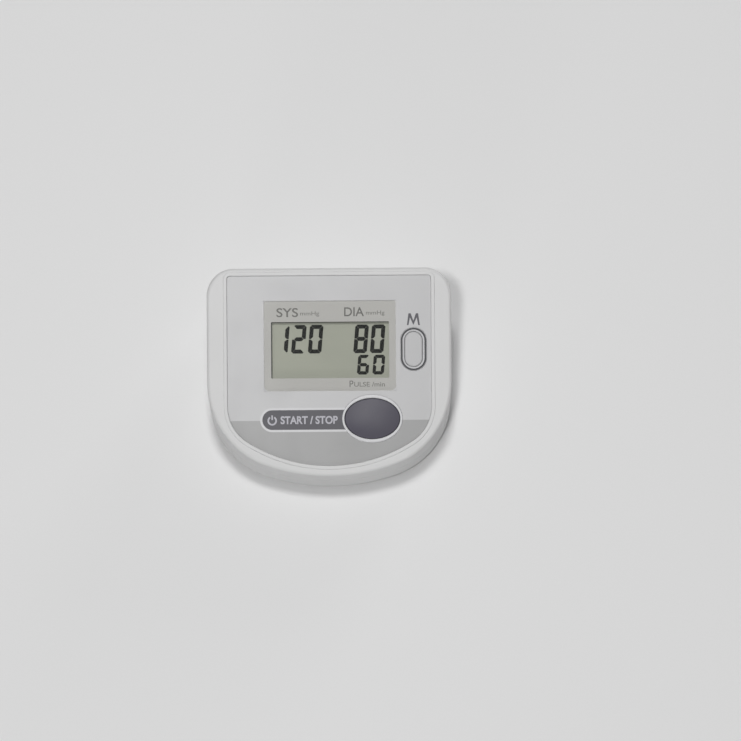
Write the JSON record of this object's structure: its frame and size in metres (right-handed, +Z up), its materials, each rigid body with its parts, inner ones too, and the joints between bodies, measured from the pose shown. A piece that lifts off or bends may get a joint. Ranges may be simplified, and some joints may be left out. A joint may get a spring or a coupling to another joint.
{
  "type": "desktop blood pressure monitor",
  "caption": "Tabletop digital blood pressure monitor with a sloping face, display window, oval start button, memory button, air socket and sliding battery cover.",
  "frame": {"origin": "on the table under the middle of the case, at the bottom of the rubber feet", "axes": "+Z up, +X to the user's right, +Y away from the user towards the high rear wall"},
  "size_m": [0.128, 0.104, 0.0571],
  "materials": {
    "case_white": "fine spark-eroded texture",
    "panel_grey": "satin printed sheet in two greys",
    "window_clear": "clear acrylic with a grey printed border",
    "lcd_glass": "polarised glass, grey-green",
    "start_dark": "satin dark grey",
    "ring_white": "smooth",
    "button_grey": "satin",
    "board_green": "solder mask",
    "black_plastic": "moulded",
    "nylon_white": "moulded",
    "steel": "zinc plated",
    "spring_steel": "nickel plated",
    "rubber_grey": "matte",
    "rubber_black": "matte",
    "silicone": "translucent silicone",
    "cell_jacket": "plastic film over steel",
    "capacitor_sleeve": "shrink sleeve"
  },
  "bodies": {
    "case": {"aa_cell_1": "cell_jacket", "aa_cell_2": "cell_jacket", "aa_cell_3": "cell_jacket", "aa_cell_4": "cell_jacket", "air_socket": "black_plastic", "battery_springs": "spring_steel", "board_capacitors": "capacitor_sleeve", "board_screws": "steel", "buzzer": "black_plastic", "case_screws": "steel", "contact_plates": "spring_steel", "dc_jack": "black_plastic", "display_window": "window_clear", "exhaust_valve": "steel", "face_overlay": "panel_grey", "lcd_holder": "nylon_white", "lcd_panel": "lcd_glass", "lower_case": "case_white", "main_board": "board_green", "memory_bezel": "ring_white", "memory_switch": "black_plastic", "microcontroller": "black_plastic", "pressure_sensor": "nylon_white", "pump_head": "black_plastic", "pump_motor": "steel", "pump_sleeve": "rubber_black", "pump_tube": "silicone", "rubber_feet": "rubber_grey", "sensor_tube": "silicone", "start_bezel": "ring_white", "start_switch": "black_plastic", "upper_case": "case_white", "valve_tube": "silicone", "zebra_strips": "rubber_grey"},
    "start_button": {"start_button": "start_dark", "start_plunger": "black_plastic"},
    "memory_button": {"memory_button": "button_grey", "memory_plunger": "black_plastic"},
    "battery_cover": {"battery_cover": "case_white"},
    "motor_rotor": {"motor_rotor": "steel"},
    "valve_plunger": {"valve_plunger": "spring_steel"}
  },
  "joints": [
    {"name": "start_press", "type": "slide", "parent": "case", "child": "start_button", "axis": [0, 0.3091, -0.951], "range_m": [0, 0.0005], "stiffness_N_per_m": 2000, "springref_m": -0.0003},
    {"name": "memory_press", "type": "slide", "parent": "case", "child": "memory_button", "axis": [0, 0.3091, -0.951], "range_m": [0, 0.0005], "stiffness_N_per_m": 2000, "springref_m": -0.0003},
    {"name": "cover_slide", "type": "slide", "parent": "case", "child": "battery_cover", "axis": [0, 1, 0], "range_m": [0, 0.06]},
    {"name": "motor_spin", "type": "hinge", "parent": "case", "child": "motor_rotor", "pos_m": [0.04715, 0.025, 0.0163], "axis": [0, 1, 0], "continuous": true},
    {"name": "valve_stroke", "type": "slide", "parent": "case", "child": "valve_plunger", "axis": [0, 1, 0], "range_m": [0, 0.0006], "stiffness_N_per_m": 500, "springref_m": -0.0002}
  ]
}
